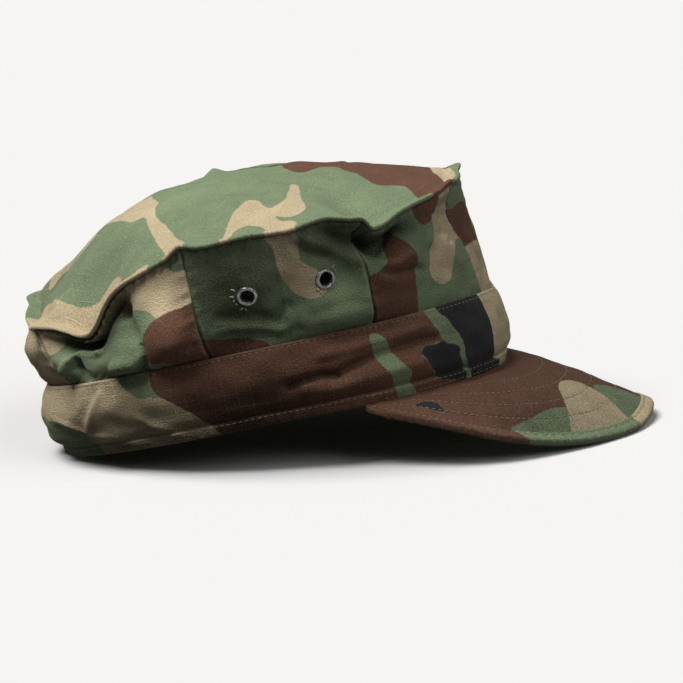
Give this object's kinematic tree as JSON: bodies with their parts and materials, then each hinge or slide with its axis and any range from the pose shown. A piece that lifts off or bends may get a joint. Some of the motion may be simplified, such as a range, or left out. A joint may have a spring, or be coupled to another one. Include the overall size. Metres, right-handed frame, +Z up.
{
  "type": "eight-pointed patrol cap",
  "caption": "Soft cloth patrol cap with an eight-pointed crown, a sewn band, ventilating eyelets and a stiff curved peak, resting on its back rim and peak.",
  "frame": {"origin": "on the floor, under the middle of the cap's box as it rests", "axes": "+X to the front, towards the peak; +Y to the wearer's left; +Z up"},
  "size_m": [0.2798, 0.1946, 0.1185],
  "materials": {
    "camouflage_cloth": "matt ripstop cotton printed with a green, brown, tan and black woodland camouflage",
    "peak_cloth": "the same printed cotton over a stiff core, stitched in rows",
    "eyelet_metal": "dull rolled steel"
  },
  "bodies": {
    "root": {"top_panel": "camouflage_cloth", "crown_welt": "camouflage_cloth", "front_panel": "camouflage_cloth", "front_side_panel_right": "camouflage_cloth", "eyelet_panel_right": "camouflage_cloth", "rear_side_panel_right": "camouflage_cloth", "back_panel": "camouflage_cloth", "rear_side_panel_left": "camouflage_cloth", "eyelet_panel_left": "camouflage_cloth", "front_side_panel_left": "camouflage_cloth", "band": "camouflage_cloth", "peak": "peak_cloth", "peak_binding": "peak_cloth", "eyelet_1": "eyelet_metal", "eyelet_2": "eyelet_metal", "eyelet_3": "eyelet_metal", "eyelet_4": "eyelet_metal"}
  },
  "joints": []
}
